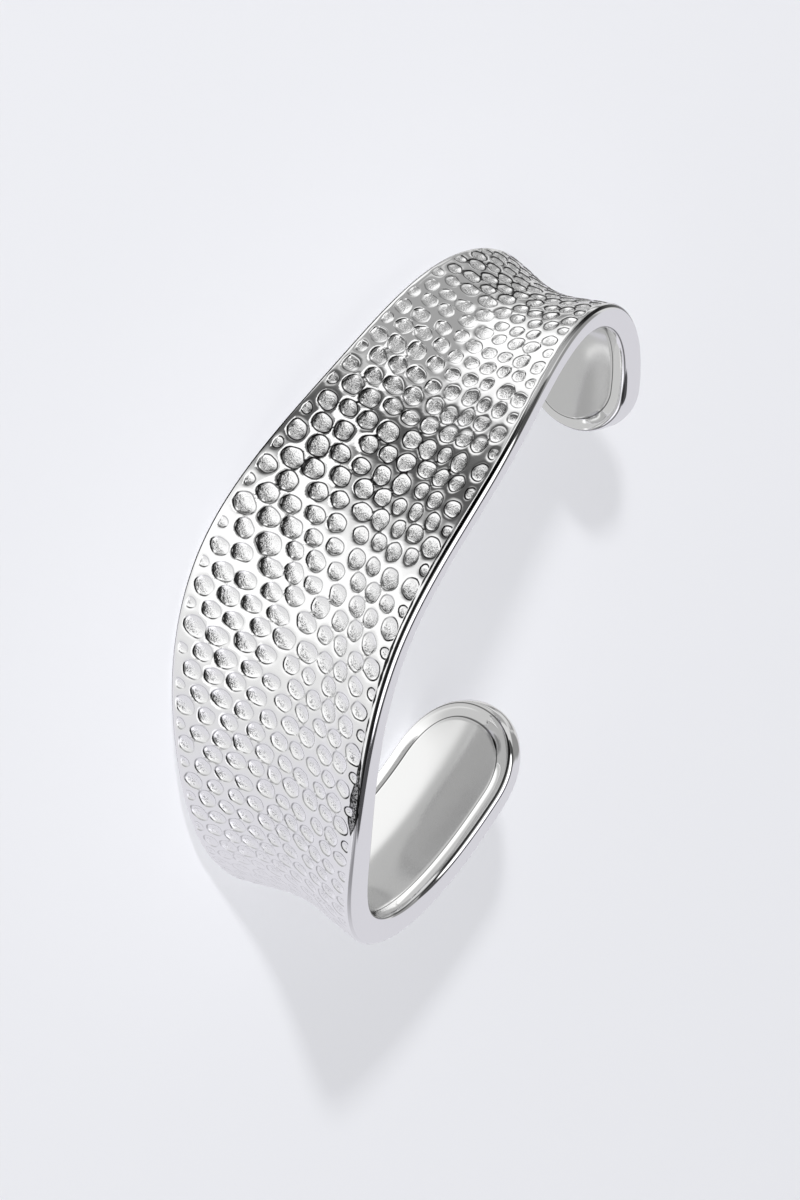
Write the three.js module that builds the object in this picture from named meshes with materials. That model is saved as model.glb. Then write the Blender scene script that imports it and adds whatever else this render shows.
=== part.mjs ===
// An open cuff bangle, cast in one piece and lying on its side.
//
// The band is drawn flat first. "arc" runs along it from the middle of the back, up the shorter, upper
// arm to plus and down the longer, lower one to minus, and "height" runs across it, from the far rim to
// the near one.
// The band is then bent round the oval plan. Its outer face is hollow between two crests that follow
// the rims, and its inner face swells to match, inside a narrow flat border.
// Millimetres, +Z up. The oval's long axis lies along X and the opening faces -Y.

import * as THREE from "three";

// Length of the band from the middle of the back to each end.
const LOWER_ARM = 70;
const UPPER_ARM = 63;

// The oval that the two crests follow, the same on both arms: its radius at places along the arc.
const PLAN = [
  { arc: 0, radius: 39.1 },
  { arc: 11, radius: 39.8 },
  { arc: 22, radius: 47.4 },
  { arc: 33, radius: 16.3 },
  { arc: 44, radius: 11.6 },
  { arc: 58, radius: 24.5 },
];

// Sections from the lower end, through the back at 0, to the upper end. "place" is a share of the arm.
//   halfWidth  half of the band's width
//   offset     how far the band's middle sways towards the near rim
//   hollow     how deep the outer face sinks between its crests
//   wall       thickness of the rim
const SECTIONS = [
  { place: -1, halfWidth: 6.4, offset: 0.7, hollow: 0.7, wall: 2.0 },
  { place: -2 / 3, halfWidth: 7.1, offset: -1.9, hollow: 1.1, wall: 2.8 },
  { place: -1 / 3, halfWidth: 10.8, offset: -0.6, hollow: 1.4, wall: 2.7 },
  { place: 0, halfWidth: 12.2, offset: 0, hollow: 2.4, wall: 2.0 },
  { place: 1 / 3, halfWidth: 10.6, offset: 2.9, hollow: 1.8, wall: 2.0 },
  { place: 2 / 3, halfWidth: 7.6, offset: 1.4, hollow: 1.3, wall: 2.3 },
  { place: 1, halfWidth: 5.9, offset: 0.9, hollow: 0.8, wall: 3.0 },
];

// Rounded ends: their length along the band, and how full their curve is (2 is an ellipse).
const LOWER_TIP = 8;
const UPPER_TIP = 6.3;
const TIP_FULLNESS = 2.1;

const OUTER_EDGE = 0.5;        // radius between the outer face and the rim
const INNER_EDGE = 0.6;        // radius between the rim and the border
const BORDER = 1.5;            // from the rim to the crease inside
const CREASE = 0.25;           // how far the swelling starts below the border

// How the cuff leans when it lies on its far rim: it touches at the back and at both arms.
const PITCH = THREE.MathUtils.degToRad(10.7);
const ROLL = THREE.MathUtils.degToRad(2.7);

// Fineness of the facets.
const AROUND = 176;            // points round the outline
const ACROSS = 8;              // rings from the middle of a face to its edge
const ROUNDING = 3;            // rings on each rounded edge
const BEND_WEIGHT = 8;         // millimetres that one radian of bend counts for: bends get more points
const FINE = 1200;             // steps used to draw a curve before it is divided evenly

// A smooth curve through a table: the natural cubic spline.
function spline(xs, ys) {
  const last = xs.length - 1;
  const bend = new Array(xs.length).fill(0);
  const carry = new Array(xs.length).fill(0);
  for (let i = 1; i < last; i++) {
    const share = (xs[i] - xs[i - 1]) / (xs[i + 1] - xs[i - 1]);
    const slopeChange = (ys[i + 1] - ys[i]) / (xs[i + 1] - xs[i]) - (ys[i] - ys[i - 1]) / (xs[i] - xs[i - 1]);
    const divisor = share * carry[i - 1] + 2;
    carry[i] = (share - 1) / divisor;
    bend[i] = (6 * slopeChange / (xs[i + 1] - xs[i - 1]) - share * bend[i - 1]) / divisor;
  }
  for (let i = last - 1; i > 0; i--) bend[i] += carry[i] * bend[i + 1];
  return (x) => {
    let i = 1;
    while (i < last && x > xs[i]) i++;
    const step = xs[i] - xs[i - 1];
    const left = (xs[i] - x) / step;
    const right = 1 - left;
    const curve = (left ** 3 - left) * bend[i - 1] + (right ** 3 - right) * bend[i];
    return left * ys[i - 1] + right * ys[i] + curve * step * step / 6;
  };
}

// One column of the sections as a smooth function of the arc.
function column(name) {
  const curve = spline(SECTIONS.map((row) => row.place), SECTIONS.map((row) => row[name]));
  return (arc) => curve(arc < 0 ? arc / LOWER_ARM : arc / UPPER_ARM);
}

const halfWidth = column("halfWidth");
const offset = column("offset");
const hollow = column("hollow");
const wall = column("wall");

// The plan: walking along the oval from the middle of the back, turning as the table says.
function drawPlan() {
  const mirrored = PLAN.slice(1).reverse().map((row) => ({ arc: -row.arc, radius: row.radius }));
  const rows = [...mirrored, ...PLAN];
  const turn = spline(rows.map((row) => row.arc), rows.map((row) => 1 / row.radius));
  const reach = PLAN[PLAN.length - 1].arc;
  const step = Math.max(LOWER_ARM, UPPER_ARM) / FINE;
  const points = [{ x: 0, y: 0, heading: 0 }];
  for (let i = 1; i <= FINE; i++) {
    const from = points[i - 1];
    const heading = from.heading + turn(Math.min((i - 0.5) * step, reach)) * step;
    const middle = (from.heading + heading) / 2;
    points.push({
      x: from.x + Math.cos(middle) * step,
      y: from.y - Math.sin(middle) * step,
      heading,
    });
  }
  const widest = points.reduce((most, point) => (point.x > most.x ? point : most));
  return (arc) => {
    const place = Math.min(Math.abs(arc) / step, FINE - 1e-6);
    const i = Math.floor(place);
    const share = place - i;
    const mix = (key) => points[i][key] * (1 - share) + points[i + 1][key] * share;
    const side = arc < 0 ? -1 : 1;
    return { x: side * mix("x"), y: mix("y") - widest.y, heading: side * mix("heading") };
  };
}

const plan = drawPlan();

// A point of the cuff from its place on the flat band and its depth below the crests' oval.
function bent(arc, height, depth) {
  const at = plan(arc);
  return new THREE.Vector3(
    at.x - Math.sin(at.heading) * depth,
    at.y - Math.cos(at.heading) * depth,
    height,
  );
}

// How far the faces dip at a place: full in the middle of the band, nothing at its rims.
function dip(arc, height) {
  const across = Math.min(Math.abs(height - offset(arc)) / halfWidth(arc), 1);
  return hollow(arc) * (1 - across ** 2) ** 2;
}

// Narrowing towards a rounded end.
function tipShare(distance, length) {
  const inwards = Math.max(1 - distance / length, 0);
  return (1 - Math.min(inwards, 1) ** TIP_FULLNESS) ** (1 / TIP_FULLNESS);
}

// One rim of the flat band from the lower end to the upper one, in steps that shorten where it bends.
function drawRim(side) {
  const line = [];
  for (let i = 0; i <= FINE; i++) {
    const share = (1 - Math.cos(Math.PI * i / FINE)) / 2;
    const arc = -LOWER_ARM + share * (LOWER_ARM + UPPER_ARM);
    const half = halfWidth(arc) * tipShare(arc + LOWER_ARM, LOWER_TIP) * tipShare(UPPER_ARM - arc, UPPER_TIP);
    line.push(new THREE.Vector2(arc, offset(arc) + side * half));
  }
  const marks = [0];
  const before = new THREE.Vector3(0, 0, side);
  for (let i = 1; i <= FINE; i++) {
    const step = bent(line[i].x, line[i].y, 0).sub(bent(line[i - 1].x, line[i - 1].y, 0));
    marks.push(marks[i - 1] + step.length() + BEND_WEIGHT * step.angleTo(before));
    before.copy(step);
  }
  const points = [];
  let i = 1;
  for (let k = 0; k <= AROUND / 2; k++) {
    const target = marks[FINE] * 2 * k / AROUND;
    while (i < FINE && marks[i] < target) i++;
    const share = (target - marks[i - 1]) / (marks[i] - marks[i - 1]);
    points.push(line[i - 1].clone().lerp(line[i], share));
  }
  return points;
}

// The flat band's outline: up the near rim and back down the far one.
function drawOutline() {
  return [...drawRim(1), ...drawRim(-1).reverse().slice(1, -1)];
}

const outline = drawOutline();

// The outline moved inwards over the flat band.
function inset(distance) {
  return outline.map((point, i) => {
    const before = outline[(i + AROUND - 1) % AROUND];
    const after = outline[(i + 1) % AROUND];
    const along = after.clone().sub(before).normalize();
    return new THREE.Vector2(point.x + along.y * distance, point.y - along.x * distance);
  });
}

// Rings that shrink from one ring to the band's middle line. The last one is that line itself.
function shrink(ring, surface) {
  const middles = ring.map((point, i) => {
    const opposite = ring[(AROUND - i) % AROUND];
    const arc = (point.x + opposite.x) / 2;
    const kept = THREE.MathUtils.clamp(arc, LOWER_TIP - LOWER_ARM, UPPER_ARM - UPPER_TIP);
    return new THREE.Vector2(kept, offset(kept));
  });
  const rings = [];
  for (let k = 1; k <= ACROSS; k++) {
    rings.push(ring.map((point, i) => surface(point.clone().lerp(middles[i], k / ACROSS))));
  }
  return rings;
}

// The whole skin as closed rings, from the outer face's middle line, over the rim, to the inner one's.
function skin() {
  const onOuterFace = (point) => bent(point.x, point.y, dip(point.x, point.y));
  const onInnerFace = (point) => bent(point.x, point.y, wall(point.x) - CREASE + dip(point.x, point.y));
  const crest = inset(OUTER_EDGE);
  const crease = inset(BORDER);
  const rings = [...shrink(crest, onOuterFace).reverse(), crest.map(onOuterFace)];
  for (let k = 1; k <= ROUNDING; k++) {
    const angle = Math.PI / 2 * k / ROUNDING;
    const depth = OUTER_EDGE * (1 - Math.cos(angle));
    rings.push(inset(OUTER_EDGE * (1 - Math.sin(angle))).map((point) => bent(point.x, point.y, depth)));
  }
  for (let k = 0; k <= ROUNDING; k++) {
    const angle = Math.PI / 2 * k / ROUNDING;
    const left = INNER_EDGE * (1 - Math.sin(angle));
    const ring = inset(INNER_EDGE * (1 - Math.cos(angle)));
    rings.push(ring.map((point) => bent(point.x, point.y, wall(point.x) - left)));
  }
  rings.push(crease.map((point) => bent(point.x, point.y, wall(point.x))));
  rings.push(crease.map(onInnerFace));
  rings.push(...shrink(crease, onInnerFace));
  return rings;
}

// Rings of points stitched into one closed body. Points that fall together become one.
function stitch(rings) {
  const numbers = new Map();
  const positions = [];
  const faces = [];
  const number = (point) => {
    const key = point.toArray().map((value) => Math.round(value * 1e4)).join();
    if (!numbers.has(key)) {
      numbers.set(key, positions.length / 3);
      positions.push(...point.toArray());
    }
    return numbers.get(key);
  };
  const triangle = (...corners) => {
    if (new Set(corners).size === 3) faces.push(...corners);
  };
  for (let r = 1; r < rings.length; r++) {
    for (let i = 0; i < AROUND; i++) {
      const j = (i + 1) % AROUND;
      const [a, b, c, d] = [rings[r - 1][i], rings[r - 1][j], rings[r][j], rings[r][i]].map(number);
      triangle(a, c, b);
      triangle(a, d, c);
    }
  }
  const geometry = new THREE.BufferGeometry();
  geometry.setAttribute("position", new THREE.Float32BufferAttribute(positions, 3));
  geometry.setIndex(faces);
  return geometry;
}

// Leans the cuff as it lies, stands it on the ground and centres it over the origin.
function layDown(geometry) {
  geometry.rotateX(PITCH);
  geometry.rotateY(ROLL);
  geometry.computeBoundingBox();
  const { min, max } = geometry.boundingBox;
  geometry.translate(-(min.x + max.x) / 2, -(min.y + max.y) / 2, -min.z);
  geometry.computeVertexNormals();
  return geometry;
}

const silver = new THREE.MeshStandardMaterial({ color: 0xd9d9dc, roughness: 0.18, metalness: 1 });

const cuff = new THREE.Mesh(layDown(stitch(skin())), silver);
cuff.name = "cuff";

const bangle = new THREE.Group();
bangle.add(cuff);

export default bangle;
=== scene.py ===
"""An open hammered cuff of polished silver, lying on its side on a pale studio floor.

The cuff's band is drawn flat first: "arc" runs along it from the middle of the back, up the shorter, upper
arm to plus and down the longer, lower one to minus, and "height" runs across it, from the far rim to the
near one. A flat sheet of cells is then wrapped round the band's section and bent round the oval plan, and
the dimples are sunk in its outer face. The band's own sizes are in millimetres.
"""

import math
import random

import bmesh
import bpy
from mathutils import Matrix, Quaternion, Vector


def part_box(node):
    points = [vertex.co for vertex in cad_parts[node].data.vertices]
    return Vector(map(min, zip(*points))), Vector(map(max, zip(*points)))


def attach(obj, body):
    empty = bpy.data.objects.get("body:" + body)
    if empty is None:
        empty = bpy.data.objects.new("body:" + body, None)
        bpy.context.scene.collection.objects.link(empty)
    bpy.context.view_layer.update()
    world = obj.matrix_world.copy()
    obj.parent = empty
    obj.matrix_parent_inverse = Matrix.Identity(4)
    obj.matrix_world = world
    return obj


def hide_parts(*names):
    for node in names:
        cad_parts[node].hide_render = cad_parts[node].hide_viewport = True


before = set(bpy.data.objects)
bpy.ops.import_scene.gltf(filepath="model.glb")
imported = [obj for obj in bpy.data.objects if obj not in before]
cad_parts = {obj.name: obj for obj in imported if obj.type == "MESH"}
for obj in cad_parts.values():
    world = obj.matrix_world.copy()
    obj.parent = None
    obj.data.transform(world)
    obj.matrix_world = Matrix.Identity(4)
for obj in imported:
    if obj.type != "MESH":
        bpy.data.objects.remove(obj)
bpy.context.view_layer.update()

bl_info = {
    "name": "Hammered Cuff",
    "version": (1, 0, 0),
    "blender": (4, 5, 0),
    "location": "View3D > Sidebar > Cuff",
    "description": "Builds an open hammered cuff and the studio round it",
    "category": "Add Mesh",
}

MM = 0.001
MERGE = 0.0002 * MM        # points nearer than this become one
FLOOR_SIZE = 3.0           # half the floor's side
CARD_PLACE = Vector((0, -1.5 * MM, 0.05 * MM))

# The lights, which all face the origin: name, place, side, power, and whether it casts a shadow.
LIGHTS = [
    ("key", (0.93, 0.86, 0.68), 0.09, 8, True),
    ("fill", (0, 0.3, 3), 2.0, 73, False),
    ("top", (0, 0, 1.5), 2.0, 4.5, True),
]

# The oval that the crests follow, the same on both arms: radius at places along the arc.
PLAN = [(0, 39.1), (11, 39.8), (22, 47.4), (33, 16.3), (44, 11.6), (58, 24.5)]

# Sections from the lower end, through the back at 0, to the upper end, by share of the arm.
SECTION_COLUMNS = ("place", "half_width", "offset", "hollow", "wall")
SECTIONS = [
    (-1, 6.4, 0.7, 0.7, 2.0),
    (-2 / 3, 7.1, -1.9, 1.1, 2.8),
    (-1 / 3, 10.8, -0.6, 1.4, 2.7),
    (0, 12.2, 0, 2.4, 2.0),
    (1 / 3, 10.6, 2.9, 1.8, 2.0),
    (2 / 3, 7.6, 1.4, 1.3, 2.3),
    (1, 5.9, 0.9, 0.8, 3.0),
]
TIP_FULLNESS = 2.1         # curve of the rounded ends: 2 is an ellipse

# Rows of cells over each part of the section, and steps in which a curve is drawn.
OUTER_ROWS = 58
ROUNDING_ROWS = 4
WALL_ROWS = 2
INNER_ROWS = 14
PLAN_STEPS = 1600
BEND_WEIGHT = 2.5          # millimetres that one radian of bend counts for: bends get more cells

# Changes along the arc, each made smoothly from one place to the next: from, to, change.
BLOWS = 1                  # strength of the hammer's blows, light round the lower bend
BLOW_CHANGES = [(-60, -48, -0.88), (-44, -25, 0.88), (20, 26, -0.25), (31, 37, 0.75)]
PATINA_AND_SHADE = 0.5                 # how strongly dark is painted: patina at the dimples' edges, painted shade and painted reflection lines
PATINA_AND_SHADE_CHANGES = [(-60, -48, -0.48), (-38, -22, 0.58), (0, 13, 0.40), (18, 26, -0.6), (31, 37, 0.6)]
# Black painted along the near rim as its dark reflection: the line, the blot on the lower arm, and more
# painted dark in the small dimples beside it.
RIM_REFLECTION_LINE = [(-20.5, -18.5, 1), (10, 22, -1)]
RIM_REFLECTION_BLOT = [(-20.5, -17.5, 1), (-16, -10.5, -1)]
RIM_REFLECTION_BESIDE = [(-24, -20, 1), (14, 22, -1)]

# The painted dark reflection line that each rim corner carries: angle round its rounding, and half the line's
# width.
OUTER_REFLECTION_LINE = (math.pi * 3 / 16, 0.15)
INNER_REFLECTION_LINE = (math.pi / 4, 0.08)
CREASE_STEP = 0.12         # width of the row beside the crease that keeps its edge sharp
FAR = 5.0                  # stands for "nowhere near" in the vertex marks


def length_setting(name, description, default_mm):
    return bpy.props.FloatProperty(
        name=name, description=description, default=default_mm * MM, unit="LENGTH", subtype="DISTANCE"
    )


def colour_setting(name, description, default):
    return bpy.props.FloatVectorProperty(
        name=name, description=description, default=default, subtype="COLOR", size=3, min=0, max=1
    )


class CuffSizes(bpy.types.PropertyGroup):
    """Sizes of the band."""

    lower_arm: length_setting("Lower arm", "Band length from the middle of the back to the lower end", 70)
    upper_arm: length_setting("Upper arm", "Band length from the middle of the back to the upper end", 63)
    lower_tip: length_setting("Lower tip", "Length over which the lower end is rounded", 8)
    upper_tip: length_setting("Upper tip", "Length over which the upper end is rounded", 6.3)
    outer_edge: length_setting("Outer edge", "Radius between the outer face and the rim", 0.7)
    inner_edge: length_setting("Inner edge", "Radius between the rim and the inner border", 0.6)
    border: length_setting("Border", "From the rim to the crease inside", 1.5)
    crease: length_setting("Crease", "How far the swelling starts below the border", 0.25)
    pitch: bpy.props.FloatProperty(
        name="Pitch", description="Lean of the cuff about X as it lies", default=math.radians(10.7),
        unit="ROTATION", subtype="ANGLE",
    )
    roll: bpy.props.FloatProperty(
        name="Roll", description="Lean of the cuff about Y as it lies", default=math.radians(2.7),
        unit="ROTATION", subtype="ANGLE",
    )
    cells: bpy.props.IntProperty(name="Cells", description="Cells round the outline", default=1080, min=60)


class DimpleSizes(bpy.types.PropertyGroup):
    """Sizes of the hammered dimples."""

    along: length_setting("Spacing along", "Distance between columns of dimples along the band", 2.02)
    across: length_setting("Spacing across", "Distance between the dimples of one column", 2.38)
    depth: length_setting("Depth", "Depth of a full dimple", 0.24)
    margin: length_setting("Margin", "Plain metal left along the rims", 0.75)
    scatter: bpy.props.FloatProperty(
        name="Scatter", description="How far dimples stray, as a share of the spacing", default=0.22,
        min=0, max=1,
    )
    seed: bpy.props.IntProperty(name="Seed", description="Start of the random draws", default=7)


class SilverLook(bpy.types.PropertyGroup):
    """Colour and polish of the metal."""

    colour: colour_setting("Colour", "Colour of the polished silver", (0.93, 0.93, 0.93))
    # The dark that the material paints: patina at the dimples' edges, painted shade and painted reflection
    # lines.
    patina_and_shade_colour: colour_setting("Recesses", "Colour of the metal round the dimples' edges", (0.015, 0.015, 0.015))


class StageLook(bpy.types.PropertyGroup):
    """Floor, light and camera."""

    floor: colour_setting("Floor", "Colour of the floor", (0.815, 0.822, 0.86))
    # The card glows and is seen only in the metal's reflections, where it paints the reflection inside the
    # cuff.
    card: bpy.props.FloatVectorProperty(
        name="Card", description="Half the length and width of the white card that the cuff's inside mirrors",
        default=(0.030, 0.0165), unit="LENGTH", size=2,
    )
    azimuth: bpy.props.FloatProperty(
        name="Azimuth", description="Camera's place round the cuff", default=math.radians(158.62),
        unit="ROTATION", subtype="ANGLE",
    )
    elevation: bpy.props.FloatProperty(
        name="Elevation", description="Camera's height above the floor", default=math.radians(42.69),
        unit="ROTATION", subtype="ANGLE",
    )
    roll: bpy.props.FloatProperty(
        name="Roll", description="Turn of the picture about the line of sight", default=math.radians(124.14),
        unit="ROTATION", subtype="ANGLE",
    )
    distance: length_setting("Distance", "From the camera to the cuff", 874.9)
    aim: bpy.props.FloatVectorProperty(
        name="Aim", description="Point the camera looks at", default=(0.00026, 0.00182, 0.01037),
        unit="LENGTH", subtype="XYZ", size=3,
    )
    lens: bpy.props.FloatProperty(
        name="Lens", description="Focal length in millimetres", default=289.1, min=20, max=500
    )


def spline(points):
    """The natural cubic spline through (x, y) pairs, as a function."""
    xs, ys = zip(*points)
    last = len(xs) - 1
    bend, carry = [0.0] * (last + 1), [0.0] * (last + 1)
    for i in range(1, last):
        share = (xs[i] - xs[i - 1]) / (xs[i + 1] - xs[i - 1])
        change = (ys[i + 1] - ys[i]) / (xs[i + 1] - xs[i]) - (ys[i] - ys[i - 1]) / (xs[i] - xs[i - 1])
        divisor = share * carry[i - 1] + 2
        carry[i] = (share - 1) / divisor
        bend[i] = (6 * change / (xs[i + 1] - xs[i - 1]) - share * bend[i - 1]) / divisor
    for i in range(last - 1, 0, -1):
        bend[i] += carry[i] * bend[i + 1]

    def value(x):
        i = 1
        while i < last and x > xs[i]:
            i += 1
        step = xs[i] - xs[i - 1]
        left = (xs[i] - x) / step
        right = 1 - left
        curve = (left**3 - left) * bend[i - 1] + (right**3 - right) * bend[i]
        return left * ys[i - 1] + right * ys[i] + curve * step * step / 6

    return value


class Band:
    """The cuff's band as functions of arc and height, in millimetres."""

    def __init__(self, sizes):
        for name in ("lower_arm", "upper_arm", "lower_tip", "upper_tip", "outer_edge", "inner_edge",
                     "border", "crease"):
            setattr(self, name, getattr(sizes, name) / MM)
        self.sections = {}
        for number, name in enumerate(SECTION_COLUMNS[1:], 1):
            self.sections[name] = spline([(row[0], row[number]) for row in SECTIONS])
        self.draw_plan()
        self.outline = self.draw_outline(sizes.cells)

    def section(self, name, arc):
        return self.sections[name](arc / (self.lower_arm if arc < 0 else self.upper_arm))

    def draw_plan(self):
        """Walks along the oval from the middle of the back, turning as the table says."""
        mirrored = [(-arc, radius) for arc, radius in reversed(PLAN[1:])]
        turn = spline([(arc, 1 / radius) for arc, radius in mirrored + PLAN])
        self.step = max(self.lower_arm, self.upper_arm) / PLAN_STEPS
        x = y = heading = 0.0
        self.plan = [(x, y, heading)]
        for i in range(PLAN_STEPS):
            after = heading + turn(min((i + 0.5) * self.step, PLAN[-1][0])) * self.step
            middle = (heading + after) / 2
            x += math.cos(middle) * self.step
            y -= math.sin(middle) * self.step
            heading = after
            self.plan.append((x, y, heading))

    def bent(self, arc, height, depth):
        """A point of the cuff from its place on the flat band and its depth below the crests' oval."""
        place = min(abs(arc) / self.step, PLAN_STEPS - 1e-6)
        i = int(place)
        share = place - i
        x, y, heading = (a * (1 - share) + b * share for a, b in zip(self.plan[i], self.plan[i + 1]))
        if arc < 0:
            x, heading = -x, -heading
        return Vector((x - math.sin(heading) * depth, y - math.cos(heading) * depth, height))

    def dip(self, arc, height):
        """How far the faces dip: full in the middle of the band, nothing at its rims."""
        across = abs(height - self.section("offset", arc)) / self.section("half_width", arc)
        return self.section("hollow", arc) * (1 - min(across, 1) ** 2) ** 2

    def half(self, arc):
        """Half the band's width, with its rounded ends."""
        share = 1.0
        tips = ((arc + self.lower_arm, self.lower_tip), (self.upper_arm - arc, self.upper_tip))
        for distance, length in tips:
            inwards = min(max(1 - distance / length, 0), 1)
            share *= (1 - inwards**TIP_FULLNESS) ** (1 / TIP_FULLNESS)
        return self.section("half_width", arc) * share

    def draw_rim(self, side, cells):
        """One rim from the lower end to the upper one, in steps that shorten where it bends."""
        line = []
        for i in range(PLAN_STEPS + 1):
            share = (1 - math.cos(math.pi * i / PLAN_STEPS)) / 2
            arc = -self.lower_arm + share * (self.lower_arm + self.upper_arm)
            line.append(Vector((arc, self.section("offset", arc) + side * self.half(arc))))
        marks = [0.0]
        before = Vector((0, 0, side))
        for a, b in zip(line, line[1:]):
            step = self.bent(b.x, b.y, 0) - self.bent(a.x, a.y, 0)
            marks.append(marks[-1] + step.length + BEND_WEIGHT * step.angle(before, 0))
            before = step
        points, i = [], 1
        for k in range(cells + 1):
            target = marks[-1] * k / cells
            while i < PLAN_STEPS and marks[i] < target:
                i += 1
            points.append(line[i - 1].lerp(line[i], (target - marks[i - 1]) / (marks[i] - marks[i - 1])))
        return points

    def draw_outline(self, cells):
        """The flat band's outline: up the near rim and back down the far one."""
        return self.draw_rim(1, cells // 2) + self.draw_rim(-1, cells // 2)[-2:0:-1]

    def inset(self, distance):
        """The outline moved inwards over the flat band."""
        count = len(self.outline)
        moved = []
        for i, point in enumerate(self.outline):
            along = (self.outline[(i + 1) % count] - self.outline[i - 1]).normalized()
            moved.append(Vector((point.x + along.y * distance, point.y - along.x * distance)))
        return moved

    def middles(self, ring):
        """The point of the band's middle line that each point of a ring shrinks to."""
        count = len(ring)
        points = []
        for i, point in enumerate(ring):
            arc = (point.x + ring[(count - i) % count].x) / 2
            arc = min(max(arc, self.lower_tip - self.lower_arm), self.upper_arm - self.upper_tip)
            points.append(Vector((arc, self.section("offset", arc))))
        return points


class Dimples:
    """Hammered dimples over the flat band."""

    CELL = 2.6             # side of the squares in which neighbours are looked up
    ROUNDS = 14            # rounds of pushing centres apart
    PUSH = 0.22            # share of a missing gap that each of two centres gives way by
    CROWDING = 0.92        # smallest gap, as a share of the spacing
    FILL = (0.78, 0.96)    # share of its room that a dimple takes up
    SQUASH = (0.90, 1.0)
    SWELL = (0.04, 0.10)   # how far the outline swells, divided by the number of waves round it
    WAVES = (2, 3, 4, 5, 6)
    FULL_RADIUS = 1.1      # radius at which a dimple is as deep as the setting says
    DEEPEST = 1.1          # most that a bigger one is deeper by
    OVERLAP = 0.15         # how far a dimple may reach into the plain margin
    ENDS = (1.2, 1.0)      # from the band's two ends to the first and last columns
    WANTED_ROOM = 0.45     # room that a centre is pushed back to, from the plain margin
    LARGEST_MOVE = 0.3     # most that it is pushed back by at once
    LEAST_ROOM = 0.2       # a centre with less is dropped

    def __init__(self, band, sizes):
        self.band = band
        self.depth = sizes.depth / MM
        self.margin = sizes.margin / MM
        self.across = sizes.across / MM
        self.along = sizes.along / MM
        draw = random.Random(sizes.seed)
        centres = self.columns(draw, sizes.scatter)
        centres = self.spread(centres)
        self.marks = self.shape(centres, draw)
        self.grid = {}
        for mark in self.marks:
            self.grid.setdefault(self.cell(mark[0], mark[1]), []).append(mark)

    def cell(self, arc, height):
        return int(arc // self.CELL), int(height // self.CELL)

    def room(self, arc, height):
        """Distance from a place to the nearest rim, less the plain margin."""
        half = self.band.half(min(max(arc, -self.band.lower_arm), self.band.upper_arm))
        offset = self.band.section("offset", arc)
        ends = min(arc + self.band.lower_arm, self.band.upper_arm - arc)
        return min(half - abs(height - offset), ends) - self.margin

    def fineness(self, arc):
        """Spacing shrinks where the band narrows."""
        return min(self.band.section("half_width", arc) / 11.5, 1.05) ** 0.8

    def columns(self, draw, scatter):
        """Staggered columns of centres across the band."""
        centres = []
        arc, odd = self.ENDS[0] - self.band.lower_arm, 0
        while arc < self.band.upper_arm - self.ENDS[1]:
            fine = self.fineness(arc)
            offset = self.band.section("offset", arc)
            half = max(self.band.half(arc) - self.margin, 0.6)
            count = max(round(2 * half / (self.across * fine)), 1)
            pitch = 2 * half / count
            for k in range(count + odd):
                height = offset - half + (k + (0.5 if not odd else 0.0)) * pitch
                stray = [draw.uniform(-scatter, scatter) * pitch for _ in range(2)]
                centres.append([arc + stray[0], height + stray[1]])
            arc += self.along * fine
            odd = 1 - odd
        return centres

    def spread(self, centres):
        """Pushes apart centres that are too near each other, and keeps them off the rims."""
        for _ in range(self.ROUNDS):
            cells = {}
            for point in centres:
                cells.setdefault(self.cell(*point), []).append(point)
            for (i, j), points in list(cells.items()):
                near = [q for a in (-1, 0, 1) for b in (-1, 0, 1) for q in cells.get((i + a, j + b), [])]
                for p in points:
                    for q in near:
                        if p is q:
                            continue
                        gap = Vector((p[0] - q[0], p[1] - q[1]))
                        wanted = self.across * self.fineness(p[0]) * self.CROWDING
                        if gap.length < wanted:
                            push = gap.normalized() * (wanted - gap.length) * self.PUSH
                            p[0] += push.x
                            p[1] += push.y
            for p in centres:
                lack = self.WANTED_ROOM - self.room(*p)
                if lack > 0:
                    move = min(lack, self.LARGEST_MOVE)
                    p[1] -= math.copysign(move, p[1] - self.band.section("offset", p[0]))
        return [p for p in centres if self.room(*p) > self.LEAST_ROOM]

    def shape(self, centres, draw):
        """Each dimple's radii and depth, from the room that its neighbours and the rims leave it."""
        marks = []
        for p in centres:
            gaps = sorted(math.dist(p, q) for q in centres if abs(p[0] - q[0]) < 5 and q is not p)
            near = sum(gaps[:4]) / 4
            radius = min(near * 0.5 * draw.uniform(*self.FILL), self.room(*p) + self.OVERLAP)
            squash = draw.uniform(*self.SQUASH)
            waves = [(n, draw.uniform(*self.SWELL) / n, draw.uniform(0, math.tau)) for n in self.WAVES]
            marks.append((p[0], p[1], radius * squash, radius / squash, waves))
        return marks

    def at(self, arc, height):
        """Depth here, distance to the nearest dimple's edge, minus inside, and place on the side that is sunk
        deeper and painted darker as shade.
        """
        i, j = self.cell(arc, height)
        sunk, edge, bite = 0.0, FAR, 0.0
        for a in (-1, 0, 1):
            for b in (-1, 0, 1):
                for x, y, along, across, waves in self.grid.get((i + a, j + b), ()):
                    right, up = (arc - x) / along, (height - y) / across
                    reach = math.hypot(right, up)
                    if reach > 2.5:
                        continue
                    way = math.atan2(up, right)
                    reach /= 1 + sum(swell * math.cos(n * way + start) for n, swell, start in waves)
                    radius = (along + across) / 2
                    # The side of each dimple that faces this way is sunk deeper, and the material paints it
                    # darker as shade.
                    side = -0.6 * right - 0.8 * up
                    if (reach - 1) * radius < edge:
                        edge, bite = (reach - 1) * radius, side
                    if reach < 1.3:
                        size = min(radius / self.FULL_RADIUS, self.DEEPEST)
                        full = self.depth * size * changed(BLOWS, BLOW_CHANGES, arc) * (1 + 0.3 * side)
                        sunk = max(sunk, full * softened(1 - reach**2.4, 0.12))
        return sunk, edge, bite


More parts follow.
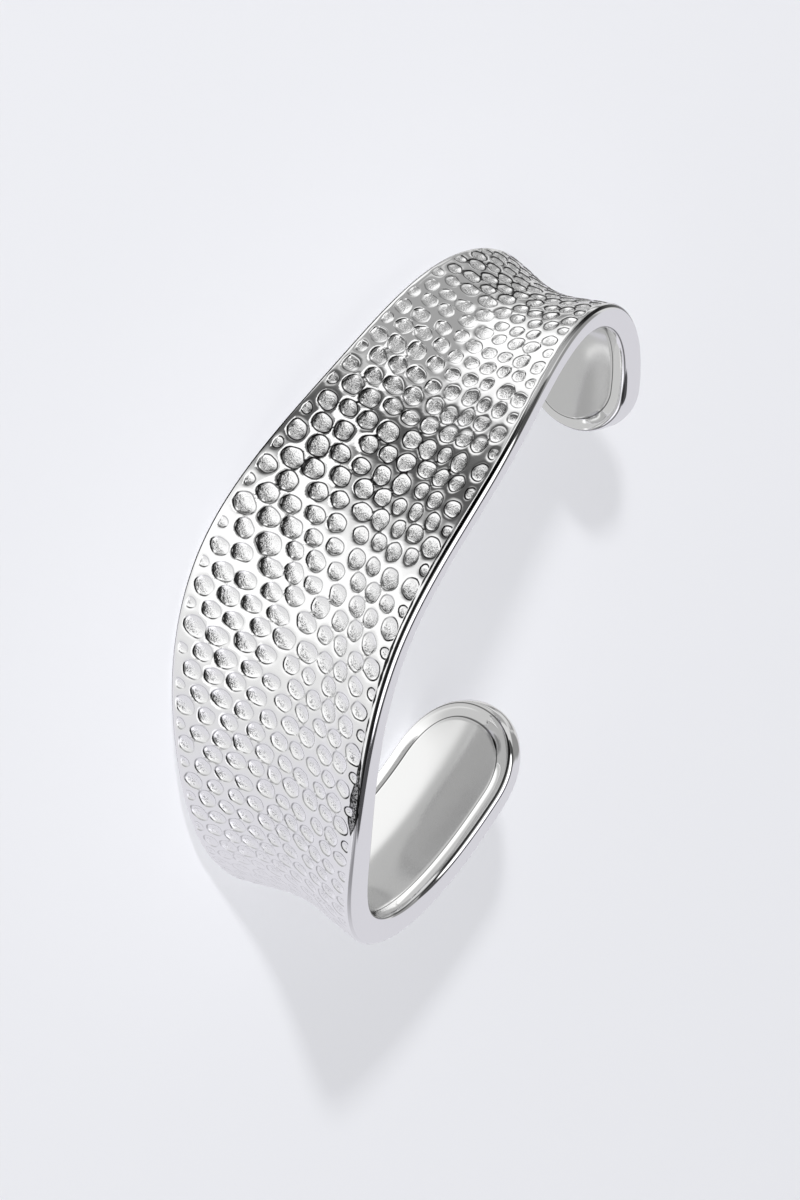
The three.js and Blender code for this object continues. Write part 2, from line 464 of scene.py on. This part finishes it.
def eased(value, low, high):
    """Smoothly from nothing to one as the value goes from low to high."""
    share = min(max((value - low) / (high - low), 0), 1)
    return share * share * (3 - 2 * share)


def changed(start, changes, arc):
    """A start value after the changes that lie along the arc up to a place."""
    return start + sum(change * eased(arc, low, high) for low, high, change in changes)


def softened(value, width):
    """The value where it is above nothing, with a rounded step up from nothing."""
    return width * math.log1p(math.exp(min(value / width, 50)))


# What each vertex carries for the material, distances in millimetres:
#   edge_distance    from the nearest dimple's edge, minus inside it, or from the painted reflection line on an outer corner
#   bite             place in the dimple from -1 to 1 on the side that is sunk deeper and painted darker as shade, and 1 on plain metal
#   wear  how strongly dark is painted: patina at the dimples' edges, painted shade and painted reflection
#       lines
#   crease_distance  inwards from the inside's crease, or minus the distance from the painted reflection line
#   on an inner corner
#   tarnish  into the black painted along the near rim as its dark reflection, minus outside it
MARKS = ("edge_distance", "bite", "wear", "crease_distance", "tarnish")


def from_corner(angle, radius, middle, line):
    """Distance round a rim's rounding from the painted reflection line that the corner carries."""
    return max(abs(angle - middle) * radius - line, 0)


class RimReflectionBlack:
    """Black painted along the near rim as its dark reflection: a thin line on its corner that ends in a blot
    on the lower arm.
    """

    def __init__(self, band):
        self.band = band

    def inwards(self, point):
        """Distance over the flat band from the near rim."""
        return self.band.half(point.x) - (point.y - self.band.section("offset", point.x))

    def at(self, point):
        """How far a place lies inside the painted black, minus outside it."""
        line, blot = changed(0, RIM_REFLECTION_LINE, point.x), changed(0, RIM_REFLECTION_BLOT, point.x)
        half = 0.38 * line + 0.42 * blot - 0.25
        return half - abs(self.inwards(point) - self.band.outer_edge - 0.05 * blot)

    def wear(self, point):
        """More painted dark, standing in for the dark reflection, in the small dimples beside it."""
        return 0.6 * changed(0, RIM_REFLECTION_BESIDE, point.x) * (1 - eased(self.inwards(point), 1.4, 2.4))


def cuff_rows(band, dimples):
    """Every row of the sheet: each point's place on the flat band, its depth and its marks."""
    crest = band.inset(band.outer_edge)
    crease = band.inset(band.border)
    wall = [band.section("wall", point.x) for point in band.outline]
    tarnish = RimReflectionBlack(band)

    def outer(point):
        sunk, edge, bite = dimples.at(point.x, point.y)
        wear = changed(PATINA_AND_SHADE, PATINA_AND_SHADE_CHANGES, point.x) + tarnish.wear(point)
        return point, band.dip(point.x, point.y) + sunk, (edge, bite, wear, -FAR, tarnish.at(point))

    def plain(point, depth, crease=-FAR, edge=FAR, black=-FAR):
        return point, depth, (edge, 1.0, changed(PATINA_AND_SHADE, PATINA_AND_SHADE_CHANGES, point.x), crease, black)

    rows = []
    middle = band.middles(crest)
    for k in range(OUTER_ROWS, 0, -1):
        rows.append([outer(p.lerp(m, k / OUTER_ROWS)) for p, m in zip(crest, middle)])
    rows.append([plain(p, 0, black=tarnish.at(p)) for p in crest])
    for k in range(1, ROUNDING_ROWS + 1):
        angle = math.pi / 2 * k / ROUNDING_ROWS
        ring = band.inset(band.outer_edge * (1 - math.sin(angle)))
        line = from_corner(angle, band.outer_edge, *OUTER_REFLECTION_LINE)
        depth = band.outer_edge * (1 - math.cos(angle))
        rows.append([plain(p, depth, edge=line, black=tarnish.at(p)) for p in ring])
    for k in range(1, WALL_ROWS + 1):
        share = k / (WALL_ROWS + 1)
        top, bottom = band.outer_edge, band.inner_edge
        rows.append([plain(p, top + (w - bottom - top) * share) for p, w in zip(band.outline, wall)])
    for k in range(ROUNDING_ROWS + 1):
        angle = math.pi / 2 * k / ROUNDING_ROWS
        left = band.inner_edge * (1 - math.sin(angle))
        ring = band.inset(band.inner_edge * (1 - math.cos(angle)))
        line = -from_corner(angle, band.inner_edge, *INNER_REFLECTION_LINE)
        rows.append([plain(p, w - left, line) for p, w in zip(ring, wall)])
    beside = band.inset(band.border - CREASE_STEP)
    rows.append([plain(p, w, -CREASE_STEP) for p, w in zip(beside, wall)])

    def inner(point, start):
        depth = band.section("wall", point.x) - band.crease + band.dip(point.x, point.y)
        return plain(point, depth, (point - start).length)

    middle = band.middles(crease)
    for k in range(INNER_ROWS + 1):
        rows.append([inner(p.lerp(m, k / INNER_ROWS), p) for p, m in zip(crease, middle)])
    return rows


def lean(sizes):
    """Turns the cuff as it lies on its far rim."""
    return Matrix.Rotation(sizes.roll, 4, "Y") @ Matrix.Rotation(sizes.pitch, 4, "X")


def add_piece(name, mesh):
    piece = bpy.data.objects.new(name, mesh)
    bpy.context.scene.collection.objects.link(piece)
    return piece


def finish_mesh(bm, name):
    mesh = bpy.data.meshes.new(name)
    bm.to_mesh(mesh)
    bm.free()
    mesh.shade_smooth()
    return mesh


class Value:
    """A socket of a node tree that can be used in sums."""

    def __init__(self, shader, socket):
        self.shader, self.socket = shader, socket

    def _math(self, operation, *values):
        return self.shader.node("ShaderNodeMath", {"operation": operation}, dict(enumerate(values)))[0]

    def __add__(self, other):
        return self._math("ADD", self, other)

    __radd__ = __add__

    def __sub__(self, other):
        return self._math("SUBTRACT", self, other)

    def __rsub__(self, other):
        return self._math("SUBTRACT", other, self)

    def __mul__(self, other):
        return self._math("MULTIPLY", self, other)

    __rmul__ = __mul__

    def __truediv__(self, other):
        return self._math("DIVIDE", self, other)

    def __rtruediv__(self, other):
        return self._math("DIVIDE", other, self)

    def step(self, low, high, start=0.0, end=1.0):
        """Smoothly from start to end as this goes from low to high."""
        settings = {"interpolation_type": "SMOOTHSTEP"}
        values = {"Value": self, "From Min": low, "From Max": high, "To Min": start, "To Max": end}
        return self.shader.node("ShaderNodeMapRange", settings, values)[0]


class Shader:
    """A node tree with one way to add a node."""

    def __init__(self, tree):
        self.tree = tree
        tree.nodes.clear()

    def node(self, kind, settings=None, values=None):
        """Adds a node, sets it up, fills or links its sockets, and returns its outputs."""
        node = self.tree.nodes.new(kind)
        for name, setting in (settings or {}).items():
            if name == "stops":
                self.fill_ramp(node.color_ramp, setting)
            else:
                setattr(node, name, setting)
        for name, value in (values or {}).items():
            if isinstance(value, Value):
                self.tree.links.new(value.socket, node.inputs[name])
            else:
                node.inputs[name].default_value = value
        return [Value(self, socket) for socket in node.outputs]

    @staticmethod
    def fill_ramp(ramp, stops):
        while len(ramp.elements) < len(stops):
            ramp.elements.new(1)
        for element, (position, colour) in zip(ramp.elements, stops):
            element.position, element.color = position, colour


def mixed(a, b, share):
    """From a to b by the share."""
    return (1 - share) * a + share * b


def brightened(colour, level):
    """A colour times a level."""
    return colour.shader.node("ShaderNodeVectorMath", {"operation": "SCALE"}, {0: colour, "Scale": level})[0]


def silver_material(look):
    material = bpy.data.materials.new("polished_silver")
    material.use_nodes = True
    shader = Shader(material.node_tree)
    place = shader.node("ShaderNodeTexCoord")[3]
    edge, bite, wear, crease, tarnish = (
        shader.node("ShaderNodeAttribute", {"attribute_name": name})[2] for name in MARKS
    )
    inside = edge.step(0.03, -0.12)
    floor = edge.step(-0.14, -0.45)
    # Painted shade: specks and edge lines are darker on one fixed side of each dimple.
    shaded_side = bite.step(-0.2, 0.5)
    # A dark line painted round each dimple's edge, as patina, and along the rim corners as a painted
    # reflection line.
    outline = edge.step(-0.14, -0.05) * edge.step(0.09, 0.01)
    # The inner face is rougher as satin, and its colour is painted darker as shade.
    satin_and_shade = crease.step(0.0, 0.3)
    # Painted shade in the inside's crease, and a painted reflection line on the inner corner.
    crease_shade_and_line = crease.step(-0.07, -0.02) * crease.step(0.11, 0.04)
    speckle = shader.node("ShaderNodeTexNoise", {}, {"Vector": place, "Scale": 6000, "Detail": 2.0})[0]
    smear = shader.node("ShaderNodeTexNoise", {}, {"Vector": place, "Scale": 260, "Detail": 3.0})[0]
    polish = shader.node("ShaderNodeTexNoise", {}, {"Vector": place, "Scale": 900, "Detail": 4.0})[0]
    # Dark specks in the dimples' floors: texture, painted mostly on their shaded side as shade.
    specks_and_shade = speckle.step(0.47, 0.41) * floor * (0.08 + 0.92 * shaded_side)
    grain = (speckle - 0.5) * floor * (0.055 + 0.085 * shaded_side)
    height = (grain - inside * 0.05) * (0.35 + 0.65 * wear) + polish * 0.003
    normal = shader.node("ShaderNodeBump", {}, {"Strength": 1.0, "Distance": MM, "Height": height})[0]
    rough = 0.05 + smear * 0.04 + floor * 0.05 + satin_and_shade * 0.10
    # Where the painted dark is strongest, the edge lines go all round each dimple.
    all_round = wear.step(0.5, 1.0, 0.2, 1.0)
    # Painted reflection: black along the near rim, ragged and mottled.
    ragged = tarnish + (smear - 0.5) * 0.5 + (polish - 0.5) * 0.3
    mottle = mixed(1, 0.6 + 0.4 * speckle.step(0.56, 0.44), tarnish.step(0.10, 0.30))
    black = ragged.step(-0.02, 0.06) * (1 - inside) * mottle
    # Painted dark: patina at the dimples' edges, painted shade on their shaded side, and painted reflection
    # lines on the rim corners.
    dimple_patina_and_shade = (specks_and_shade * 0.75 + outline * mixed(shaded_side, 1, all_round)) * wear
    dark = dimple_patina_and_shade + crease_shade_and_line * 0.8 + satin_and_shade * 0.17 + black
    shade = shader.node(
        "ShaderNodeMix",
        {"data_type": "RGBA"},
        {"Factor": dark, "A": (*look.colour, 1), "B": (*look.patina_and_shade_colour, 1)},
    )[2]
    surface = shader.node(
        "ShaderNodeBsdfPrincipled",
        {},
        {"Base Color": shade, "Metallic": 1.0, "Roughness": rough, "Normal": normal},
    )[0]
    shader.node("ShaderNodeOutputMaterial", {}, {"Surface": surface})
    return material


def floor_material(look):
    material = bpy.data.materials.new("pale_floor")
    material.use_nodes = True
    shader = Shader(material.node_tree)
    place = shader.node("ShaderNodeTexCoord")[3]
    mottle = shader.node("ShaderNodeTexNoise", {}, {"Vector": place, "Scale": 6, "Detail": 2.0})[0]
    darker = tuple(c * 0.985 for c in look.floor)
    shade = shader.node(
        "ShaderNodeMix", {"data_type": "RGBA"}, {"Factor": mottle, "A": (*look.floor, 1), "B": (*darker, 1)}
    )[2]
    surface = shader.node(
        "ShaderNodeBsdfPrincipled", {}, {"Base Color": shade, "Roughness": 0.9, "Specular IOR Level": 0.1}
    )[0]
    shader.node("ShaderNodeOutputMaterial", {}, {"Surface": surface})
    return material


# A glowing card, seen only in the metal's reflections: a painted reflection inside the cuff, with a brighter
# patch for a painted highlight inside the ends.
def glowing_card_material():
    material = bpy.data.materials.new("glowing_card")
    material.use_nodes = True
    shader = Shader(material.node_tree)
    place = shader.node("ShaderNodeTexCoord")[3]
    mottle = shader.node("ShaderNodeTexNoise", {}, {"Vector": place, "Scale": 60, "Detail": 2.0})[0]
    shade = shader.node(
        "ShaderNodeMix",
        {"data_type": "RGBA"},
        {"Factor": mottle, "A": (1, 1, 0.99, 1), "B": (0.93, 0.93, 0.93, 1)},
    )[2]
    x, y, _ = shader.node("ShaderNodeSeparateXYZ", {}, {"Vector": place})
    # Painted highlight: the glow is brighter over a patch of the card.
    glow_and_highlight = 0.62 + x.step(-0.028, -0.022) * x.step(-0.012, -0.017) * y.step(0.004, -0.005) * 0.6
    surface = shader.node("ShaderNodeEmission", {}, {"Color": brightened(shade, glow_and_highlight), "Strength": 1.0})[0]
    shader.node("ShaderNodeOutputMaterial", {}, {"Surface": surface})
    return material


# Brightness of the studio's walls round the cuff, by turn from the front in degrees.
WALLS = [
    (-180, 0.74), (-152, 0.74), (-142, 0.2), (-134, 1.0), (-122, 0.25), (-106, 0.7), (-90, 1.1), (-76, 1.25),
    (-50, 1.15), (-40, 0.95), (-33, 0.2), (-27, 0.10), (-20, 0.12), (-12, 0.5), (-2, 0.95), (8, 1.25),
    (20, 1.12), (32, 0.9), (46, 0.81), (58, 0.80), (110, 0.80), (140, 0.74), (180, 0.74),
]


def studio_world():
    """A white tent with dark openings, by turn in degrees round it and by height from -1 to 1."""
    world = bpy.data.worlds.new("studio")
    world.use_nodes = True
    shader = Shader(world.node_tree)
    way = shader.node("ShaderNodeTexCoord")[0]
    x, y, z = shader.node("ShaderNodeSeparateXYZ", {}, {"Vector": way})
    turn = shader.node("ShaderNodeMath", {"operation": "ARCTAN2"}, {0: x * -1, 1: y})[0] * (180 / math.pi)
    stops = [((place + 180) / 360, (level, level, level, 1)) for place, level in WALLS]
    walls = shader.node("ShaderNodeValToRGB", {"stops": stops}, {"Fac": turn / 360 + 0.5})[0]

    # Where each zone lies. "front" and "side" are parts of the round, and the others are openings or lights.
    front = turn.step(-80, -66) * (1 - turn.step(74, 88))
    side = turn.step(-140, -125) * (1 - turn.step(-44, -34))
    low = 1 - z.step(-0.95, -0.90)
    dusk = z.step(-0.55, -0.32) * side
    doorway = z.step(0.16, 0.26) * turn.step(-74, -60) * (1 - turn.step(-8, 8))
    porch = z.step(0.20, 0.35) * turn.step(-8, 8) * (1 - turn.step(50, 74))
    glow = (1 - z.step(-0.80, -0.70)) * turn.step(30, 60) * (1 - turn.step(140, 160))
    eave = z.step(0.42, 0.48) * front
    corner = z.step(0.03, 0.12) * turn.step(-174, -166) * (1 - turn.step(-140, -130))
    gap = z.step(0.60, 0.65) * (1 - front)
    overhead = z.step(0.85, 0.88)
    # Each zone's brightness, laid over those before it.
    level = mixed(walls, 0.9, glow)
    level = mixed(level, 0.06, low)
    level = mixed(level, 0.40, dusk)
    level = mixed(level, mixed(0.74, 1.25, front), z.step(0.0, 0.05))
    level = mixed(level, 0.20, doorway)
    level = mixed(level, 0.30, porch)
    level = mixed(level, 0.03, eave)
    level = mixed(level, 0.30, corner)
    level = mixed(level, 0.08, gap)
    level = mixed(level, 1.7, overhead)
    lavender = turn.step(30, 85) + 1 - turn.step(-176, -165)
    tint = shader.node(
        "ShaderNodeMix",
        {"data_type": "RGBA"},
        {"Factor": lavender, "A": (0.97, 0.97, 0.97, 1), "B": (0.945, 0.935, 1.0, 1)},
    )[2]
    light = brightened(tint, level)
    background = shader.node("ShaderNodeBackground", {}, {"Color": light, "Strength": 1.0})[0]
    shader.node("ShaderNodeOutputWorld", {}, {"Surface": background})
    return world


class BuildCuff(bpy.types.Operator):
    """Builds the hammered cuff"""

    bl_idname = "cuff.build_cuff"
    bl_label = "Hammered Cuff"

    def execute(self, context):
        scene = context.scene
        sizes = scene.cuff_sizes
        band = Band(sizes)
        rows = cuff_rows(band, Dimples(band, scene.dimple_sizes))
        columns, last = len(band.outline), len(rows) - 1
        bm = bmesh.new()
        layers = [bm.verts.layers.float.new(name) for name in MARKS]
        bmesh.ops.create_grid(bm, x_segments=columns, y_segments=last, size=0.5)
        for vertex in bm.verts:
            column = round((vertex.co.x + 0.5) * columns) % columns
            point, depth, marks = rows[round((vertex.co.y + 0.5) * last)][column]
            vertex.co = band.bent(point.x, point.y, depth) * MM
            for layer, mark in zip(layers, marks):
                vertex[layer] = mark
        bmesh.ops.remove_doubles(bm, verts=bm.verts, dist=MERGE)
        bmesh.ops.transform(bm, matrix=lean(sizes), verts=bm.verts)
        corners = [[extreme(v.co[axis] for v in bm.verts) for axis in range(3)] for extreme in (min, max)]
        low, high = (Vector(corner) for corner in corners)
        cad_low, cad_high = (Vector(corner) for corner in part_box("cuff"))
        shift = (cad_low + cad_high - low - high) / 2
        shift.z = cad_low.z - low.z
        bmesh.ops.translate(bm, verts=bm.verts, vec=shift)
        bmesh.ops.recalc_face_normals(bm, faces=bm.faces)
        cuff = add_piece("hammered_cuff", finish_mesh(bm, "hammered_cuff"))
        cuff.data.materials.append(silver_material(scene.silver_look))
        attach(cuff, "root")
        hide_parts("cuff")
        return {"FINISHED"}


def add_softbox(name, place, size, power):
    """A square light that faces the origin."""
    light = bpy.data.lights.new(name, "AREA")
    light.size = size
    light.energy = power
    softbox = bpy.data.objects.new(name, light)
    bpy.context.scene.collection.objects.link(softbox)
    softbox.location = place
    softbox.rotation_mode = "QUATERNION"
    softbox.rotation_quaternion = Vector(place).to_track_quat("Z", "Y")
    return softbox


class BuildStage(bpy.types.Operator):
    """Builds the floor, the lights and the camera"""

    bl_idname = "cuff.build_stage"
    bl_label = "Studio"

    def execute(self, context):
        scene = context.scene
        look = scene.stage_look
        scene.view_settings.view_transform = "Standard"
        bm = bmesh.new()
        bmesh.ops.create_grid(bm, x_segments=8, y_segments=8, size=FLOOR_SIZE)
        floor = add_piece("floor", finish_mesh(bm, "floor"))
        floor.data.materials.append(floor_material(look))
        floor.visible_glossy = False
        bm = bmesh.new()
        bmesh.ops.create_circle(bm, cap_ends=True, segments=64, radius=1)
        bmesh.ops.scale(bm, vec=(*look.card, 1), verts=bm.verts)
        bmesh.ops.translate(bm, verts=bm.verts, vec=CARD_PLACE)
        # A glowing card inside the cuff, hidden from the camera, from diffuse light and from shadows: only
        # the metal's reflections show it.
        card = add_piece("glowing_card", finish_mesh(bm, "glowing_card"))
        card.data.materials.append(glowing_card_material())
        card.visible_camera = card.visible_diffuse = card.visible_shadow = False

        scene.world = studio_world()
        scene.world.cycles_visibility.diffuse = False
        for name, place, side, power, shadow in LIGHTS:
            light = add_softbox(name, place, side, power)
            light.data.use_shadow = shadow
            light.visible_glossy = False

        camera_data = bpy.data.cameras.new("camera")
        camera_data.lens = look.lens
        camera_data.sensor_width = 36
        camera_data.clip_start, camera_data.clip_end = 0.05, 20
        camera = bpy.data.objects.new("camera", camera_data)
        scene.collection.objects.link(camera)
        back = Vector((
            math.sin(look.azimuth) * math.cos(look.elevation),
            -math.cos(look.azimuth) * math.cos(look.elevation),
            math.sin(look.elevation),
        ))
        camera.location = Vector(look.aim) + back * look.distance
        camera.rotation_mode = "QUATERNION"
        camera.rotation_quaternion = back.to_track_quat("Z", "Y") @ Quaternion((0, 0, 1), look.roll)
        scene.camera = camera
        return {"FINISHED"}


class CuffPanel(bpy.types.Panel):
    """Lists the cuff's settings"""

    bl_idname = "VIEW3D_PT_cuff"
    bl_label = "Hammered Cuff"
    bl_space_type = "VIEW_3D"
    bl_region_type = "UI"
    bl_category = "Cuff"

    def draw(self, context):
        layout = self.layout
        for group, operator in (
            ("cuff_sizes", None),
            ("dimple_sizes", None),
            ("silver_look", BuildCuff.bl_idname),
            ("stage_look", BuildStage.bl_idname),
        ):
            settings = getattr(context.scene, group)
            for name in settings.__annotations__:
                layout.prop(settings, name)
            if operator:
                layout.operator(operator)


CLASSES = (CuffSizes, DimpleSizes, SilverLook, StageLook, BuildCuff, BuildStage, CuffPanel)
GROUPS = {
    "cuff_sizes": CuffSizes,
    "dimple_sizes": DimpleSizes,
    "silver_look": SilverLook,
    "stage_look": StageLook,
}


def register():
    for cls in CLASSES:
        bpy.utils.register_class(cls)
    for name, group in GROUPS.items():
        setattr(bpy.types.Scene, name, bpy.props.PointerProperty(type=group))


def unregister():
    for name in GROUPS:
        delattr(bpy.types.Scene, name)
    for cls in reversed(CLASSES):
        bpy.utils.unregister_class(cls)


def main():
    register()
    bpy.ops.cuff.build_cuff()
    bpy.ops.cuff.build_stage()


if __name__ == "__main__":
    main()
